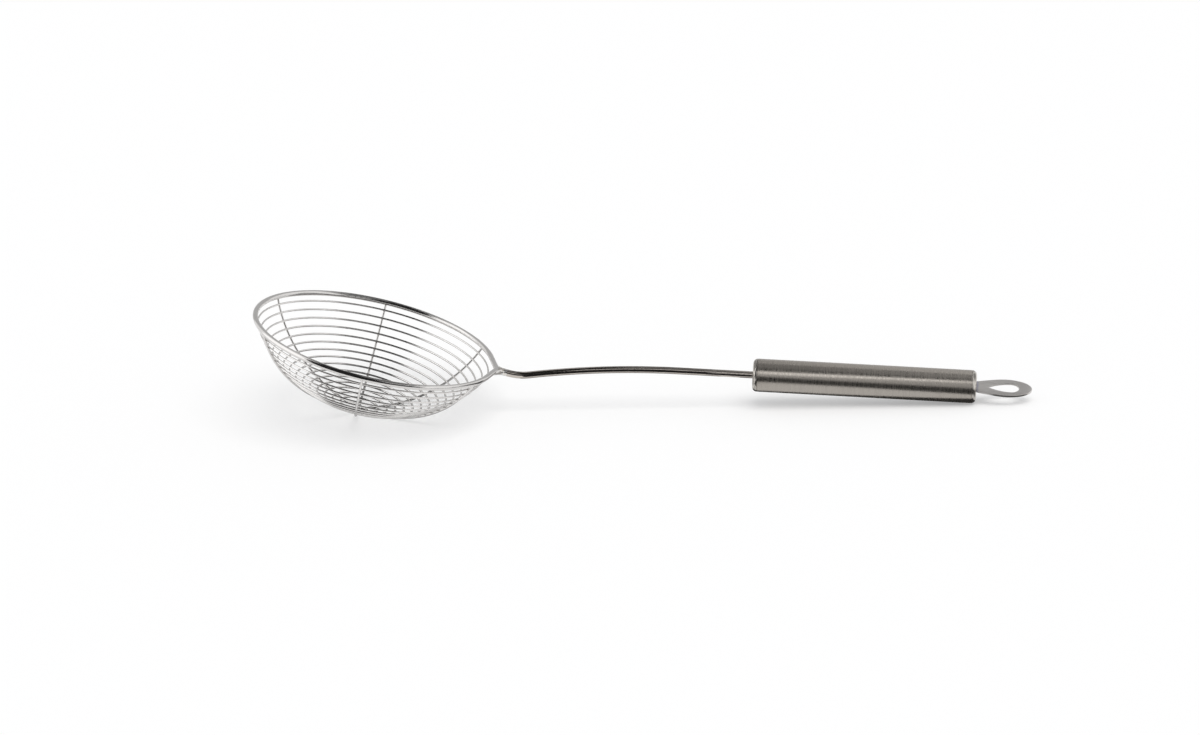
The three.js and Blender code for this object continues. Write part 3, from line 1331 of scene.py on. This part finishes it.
@dataclass
class Eyelet:
    """The flat stamped plate that the strainer hangs by, with its pointed hole."""

    seat: Matrix
    reach: float = 26 * MM  # from the cap's face to the tip
    width: float = 14 * MM
    neck: float = 8.2 * MM  # width at the shoulders
    shoulder: float = 0.1 * MM  # from the cap's face
    widest: float = 13.9 * MM  # from the cap's face
    ease: float = 4.4 * MM  # from the widest place back to the flanks' control points
    thickness: float = PLATE_THICKNESS
    tang_length: float = 9 * MM
    tang_width: float = 6 * MM
    root_band: float = 5 * MM  # left round the hole, as are the next two
    flank_band: float = 3.2 * MM
    tip_band: float = 6 * MM
    edge: float = PLATE_EDGE
    edge_steps: int = 3
    curve_steps: int = 40
    finish: Steel = StampedPlate(
        name="satin_eyelet",
        colour=(0.68, 0.66, 0.64),
        shade=(0.6, 0.58, 0.565),
        roughness=0.42,
        spread=0.12,
        depth=0.006 * MM,
        edge_colour=(0.62, 0.60, 0.58),
        heat_colour=(0.40, 0.41, 0.54),
    )

    def outline(self) -> list[Knot]:
        """List the plate's outline: the tang, the shoulders, the flanks and the round tip.

        Returns:
            The outline's knots, from the tip.
        """
        half = self.width / 2
        neck = self.neck / 2
        tang = self.tang_width / 2
        turn = self.widest - self.ease
        nose = (self.reach - self.widest) * CIRCLE_HANDLE
        flank = (towards(self.shoulder, turn), towards(neck, half))
        shoulder = (self.shoulder, neck)
        upper = [
            round_end(self.reach, half),
            Knot((self.widest + nose, half), (self.widest, half), (towards(self.widest, turn), half)),
            Knot(flank, shoulder, shoulder),
            corner(self.shoulder, tang),
            corner(-self.tang_length, tang),
        ]
        return upper + [mirrored(knot) for knot in reversed(upper[1:])]

    def hole(self) -> list[Knot]:
        """List the hole's outline: a point towards the handle and a round end towards the tip.

        Returns:
            The outline's knots, from the round end.
        """
        half = self.width / 2 - self.flank_band
        centre = self.reach - self.tip_band - half
        turn = (self.root_band + centre) / 2
        flank = (towards(self.root_band, turn), towards(0.0, half))
        side = Knot((centre + half * CIRCLE_HANDLE, half), (centre, half), (towards(centre, turn), half))
        point = Knot(flank, (self.root_band, 0.0), (flank[0], -flank[1]))
        return [round_end(centre + half, half), side, point, mirrored(side)]

    def plate(self) -> Workpiece:
        """Stamp the plate from its outlines, with softened edges.

        Returns:
            The plate in its place.
        """
        bpy.ops.object.select_all(action="DESELECT")
        bpy.ops.curve.primitive_bezier_circle_add()
        piece = Workpiece("eyelet_plate")
        shape = piece.object.data
        shape.splines.clear()
        shape.dimensions = "2D"
        shape.fill_mode = "BOTH"
        shape.extrude = self.thickness / 2 - self.edge
        shape.bevel_depth = self.edge
        shape.bevel_resolution = self.edge_steps
        shape.offset = -self.edge
        shape.resolution_u = self.curve_steps
        for knots in (self.outline(), self.hole()):
            add_loop(shape, knots)
        bpy.ops.object.convert(target="MESH")
        bpy.ops.object.mode_set(mode="EDIT")
        piece.finish(self.seat)
        return piece

    def build(self) -> Iterator[bpy.types.Object]:
        """Build and dress the plate."""
        yield self.plate().dress(self.finish.material(self.seat), Slot.EYELET, "hanging_eyelet")


class Span(NamedTuple):
    """A stretch along an axis, in millimetres."""

    start: float
    end: float

    @property
    def length(self) -> float:
        """Its length in metres."""
        return (self.end - self.start) * MM

    @property
    def middle(self) -> float:
        """Its middle in metres."""
        return (self.start + self.end) / 2 * MM


def at(place: float) -> Span:
    """Make a stretch of no length at a place."""
    return Span(place, place)


AT_FRONT = at(-150)
ON_FLOOR = at(0.3)
AT_ROOF = at(450)
BLACK = 0.02


@dataclass(frozen=True)
class Card:
    """A plain card beside the set that only reflections see; most shape the metal as a studio's cards do, and
    those on the floor under and beside the strainer are painted shade in place of its shadow.
    """

    name: str
    x: Span
    y: Span
    z: Span  # one of the three has no length
    light: float  # 0 is black and 1 is as white as the background
    slant: float = 0.0  # degrees that it is turned about its middle, from X towards Y or Z

    def stand(self) -> tuple[tuple[float, float], tuple[float, float, float]]:
        """Work out how the card stands from the direction in which it has no length.

        Returns:
            Its two lengths, and its turns about X, Y and Z from lying flat.
        """
        slant = math.radians(self.slant)
        if not self.z.length:
            return (self.x.length, self.y.length), (0.0, 0.0, slant)
        if not self.y.length:
            return (self.x.length, self.z.length), (QUARTER_TURN, -slant, 0.0)
        return (self.y.length, self.z.length), (QUARTER_TURN, 0.0, QUARTER_TURN)

    def build(self) -> None:
        """Set the card up as part of the stage."""
        bpy.ops.object.select_all(action="DESELECT")
        size, turn = self.stand()
        centre = (self.x.middle, self.y.middle, self.z.middle)
        bpy.ops.mesh.primitive_plane_add(size=1.0, location=centre, rotation=turn)
        card = bpy.context.object
        card.name = self.name
        card.scale = (*size, 1.0)
        material, board = new_material(self.name)
        glow = board.node("ShaderNodeEmission", inputs={"Color": WHITE, "Strength": self.light})
        board.node("ShaderNodeOutputMaterial", inputs={"Surface": board.out(glow)})
        card.data.materials.append(material)
        card.visible_camera = False
        card.visible_diffuse = False
        card.visible_shadow = False


@dataclass
class Studio:
    """The pale floor, the soft light, the cards and the camera at the photo's angle."""

    floor_size: float = 30.0
    floor_colour: Colour = (0.93, 0.93, 0.93)
    floor_glow: float = 0.3  # share of the floor's look that is plain white
    fill_power: float = 0.66
    fill_colour: Colour = (0.97, 0.98, 1.0)
    key_power: float = 1.5
    key_colour: Colour = (1.0, 0.985, 0.96)
    key_softness: float = math.radians(50)
    key_place: tuple[float, float, float] = (0.25, -0.4, 1.0)
    azimuth: float = math.radians(3.97)
    elevation: float = math.radians(18.28)
    roll: float = math.radians(-2.27)
    distance: float = 2.5
    lens: float = 160.1  # in millimetres, as is the sensor's width
    sensor: float = 36.0
    far_clip: float = 100.0
    target: tuple[float, float, float] = (-20.03 * MM, 0.0, 20.39 * MM)
    cards: tuple[Card, ...] = (
        Card("basket_card", x=Span(-285, -55), y=AT_FRONT, z=Span(0, 168), light=BLACK),
        Card("high_card", x=Span(-300, 60), y=AT_FRONT, z=Span(168, 600), light=BLACK),
        Card("handle_high_card", x=Span(-50, 390), y=at(-149), z=Span(230, 650), light=0.06, slant=25),
        Card("handle_mid_card", x=Span(35, 192), y=at(-50), z=Span(-13.1, 46.9), light=0.45, slant=8),
        # Painted shadow: a near-black sheet on the floor under the basket's far half, seen only in
        # reflections, so the wires reflect a darker floor there.
        Card("basket_painted_shadow_card", x=Span(-165, -85), y=Span(-5, 55), z=ON_FLOOR, light=0.06),
        # Painted half shadow: a grey sheet on the floor under the basket's front, between the dark sheet and
        # the lit floor, seen only in reflections.
        Card("basket_painted_half_shadow_card", x=Span(-165, -85), y=Span(-30, -5), z=ON_FLOOR, light=0.5),
        Card("shank_card", x=Span(-55, 60), y=AT_FRONT, z=Span(0, 112), light=BLACK),
        Card("shank_near_card", x=Span(-57, 30), y=at(-9), z=Span(8.5, 23.2), light=BLACK),
        Card("shank_floor_card", x=Span(28, 50), y=Span(-40, -12.5), z=ON_FLOOR, light=BLACK),
        # Painted shade: a grey sheet on the floor under the shank, darker than the lit floor, seen only in
        # reflections.
        Card("shank_painted_shade_card", x=Span(-60, 35), y=Span(-6, 50), z=ON_FLOOR, light=0.45),
        Card("handle_card", x=Span(35, 192), y=at(-49), z=Span(-22, 18), light=BLACK, slant=-5.7),
        Card("handle_shine_card", x=Span(40, 240), y=at(-153), z=Span(85, 250), light=1.5),
        Card("handle_low_card", x=Span(20, 200), y=Span(-154.8, -24.8), z=ON_FLOOR, light=BLACK, slant=11),
        # Painted shade: a pale grey sheet on the floor under and in front of the handle, which dims the floor
        # that the tube's underside reflects.
        Card("handle_painted_shade_card", x=Span(40, 170), y=Span(-55, 5), z=at(0.2), light=0.72),
        # Painted shade: a dark sheet on the floor under the eyelet's lower edge, which darkens that edge in
        # reflections.
        Card("eyelet_painted_shade_card", x=Span(160, 190), y=Span(-14, -4), z=at(0.4), light=0.1),
        Card("front_cap_card", x=at(35), y=Span(-8, 38), z=Span(24, 65), light=0.34),
        Card("rear_cap_card", x=at(185), y=Span(-8, 45), z=Span(20, 100), light=0.34),
        # Painted shadow: a near-black sheet on the floor under the handle, in place of its shadow, which
        # darkens the tube's underside in reflections.
        Card("handle_painted_shadow_card", x=Span(45, 158), y=Span(-4.4, 51.6), z=ON_FLOOR, light=0.04, slant=-4),
        Card("top_card", x=Span(-30, 250), y=Span(-150, 180), z=AT_ROOF, light=0.22),
        Card("roof_card", x=Span(-70, 60), y=Span(200, 750), z=AT_ROOF, light=BLACK),
        Card("roof_left_card", x=Span(-220, -30), y=Span(-145, 175), z=AT_ROOF, light=BLACK),
        Card("back_card", x=Span(-650, 400), y=at(600), z=Span(0, 1300), light=0.55),
        Card("left_card", x=at(-700), y=Span(-450, 250), z=Span(0, 1000), light=1.5),
        Card("right_card", x=at(750), y=Span(-1000, 300), z=Span(0, 700), light=1.1),
    )

    def background(self, board: Board) -> Socket:
        """Find the rays that see the white background: those of the camera, and those off or through metal.

        Args:
            board: the nodes that ask.

        Returns:
            1 for those rays and 0 for the others.
        """
        path = board.node("ShaderNodeLightPath")
        seen = board.out(path, "Is Camera Ray") + board.out(path, "Is Glossy Ray")
        return seen + board.out(path, "Is Transmission Ray")

    def build_world(self) -> None:
        """Surround the set with white, and with a softer fill for the light that falls on it."""
        world = bpy.data.worlds.new("studio")
        world.use_nodes = True
        bpy.context.scene.world = world
        board = Board(world.node_tree)
        inputs = {"Color": (*self.fill_colour, 1.0), "Strength": self.fill_power}
        fill = board.node("ShaderNodeBackground", inputs=inputs)
        white = board.node("ShaderNodeBackground", inputs={"Color": WHITE, "Strength": 1.0})
        both = board.blend(self.background(board), fill, white)
        board.node("ShaderNodeOutputWorld", inputs={"Surface": both})

    def build_floor(self) -> None:
        """Lay the floor, which keeps the strainer's shadow."""
        bpy.ops.object.select_all(action="DESELECT")
        bpy.ops.mesh.primitive_plane_add(size=self.floor_size)
        floor = bpy.context.object
        floor.name = "floor"
        material, board = new_material("pale_floor")
        paper = board.node("ShaderNodeBsdfDiffuse", inputs={"Color": (*self.floor_colour, 1.0)})
        white = board.node("ShaderNodeEmission", inputs={"Color": WHITE})
        both = board.blend(self.background(board) * self.floor_glow, paper, white)
        board.node("ShaderNodeOutputMaterial", inputs={"Surface": both})
        floor.data.materials.append(material)

    def build_key(self) -> None:
        """Hang the soft lamp over the front of the set."""
        aim = (-Vector(self.key_place)).to_track_quat("-Z", "Y").to_euler()
        bpy.ops.object.light_add(type="SUN", location=self.key_place, rotation=aim)
        lamp = bpy.context.object
        lamp.name = "soft_key"
        lamp.data.angle = self.key_softness
        lamp.data.energy = self.key_power
        lamp.data.color = self.key_colour
        lamp.visible_glossy = False

    def build_camera(self) -> None:
        """Set the camera up at the photo's angle."""
        level = Vector((math.cos(self.azimuth), math.sin(self.azimuth), 0.0))
        outwards = Vector((level.y, -level.x, 0.0))
        back = outwards * math.cos(self.elevation) + AXIS_Z * math.sin(self.elevation)
        upright = back.cross(level)
        right = level * math.cos(self.roll) + upright * math.sin(self.roll)
        turned = Matrix((right, back.cross(right), back)).transposed()
        bpy.ops.object.camera_add()
        camera = bpy.context.object
        camera.matrix_world = Matrix.Translation(Vector(self.target) + back * self.distance) @ turned.to_4x4()
        camera.data.lens = self.lens
        camera.data.sensor_width = self.sensor
        camera.data.clip_end = self.far_clip
        bpy.context.scene.camera = camera

    def build(self) -> None:
        """Set everything up."""
        bpy.context.scene.view_settings.view_transform = "Standard"
        self.build_world()
        self.build_floor()
        for card in self.cards:
            card.build()
        self.build_key()
        self.build_camera()


def main() -> None:
    """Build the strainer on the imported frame, light it and aim the camera."""
    logging.basicConfig(level=logging.INFO, format="%(message)s")
    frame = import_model()
    survey = Survey(frame["nodes"])
    basket_seat = survey.basket_seat()
    handle_seat = survey.handle_seat()
    handle = Handle(handle_seat, survey.length("rear_cap", handle_seat))
    assemblies = [
        Basket(basket_seat, [survey.ring(node, basket_seat) for node in survey.named("ring_")]),
        Shank(basket_seat),
        handle,
        Eyelet(handle.eyelet_seat()),
    ]
    for assembly in assemblies:
        for piece in assembly.build():
            LOG.info("%s: %d faces", piece.name, len(piece.data.polygons))
    Studio().build()


if __name__ == "__main__":
    main()
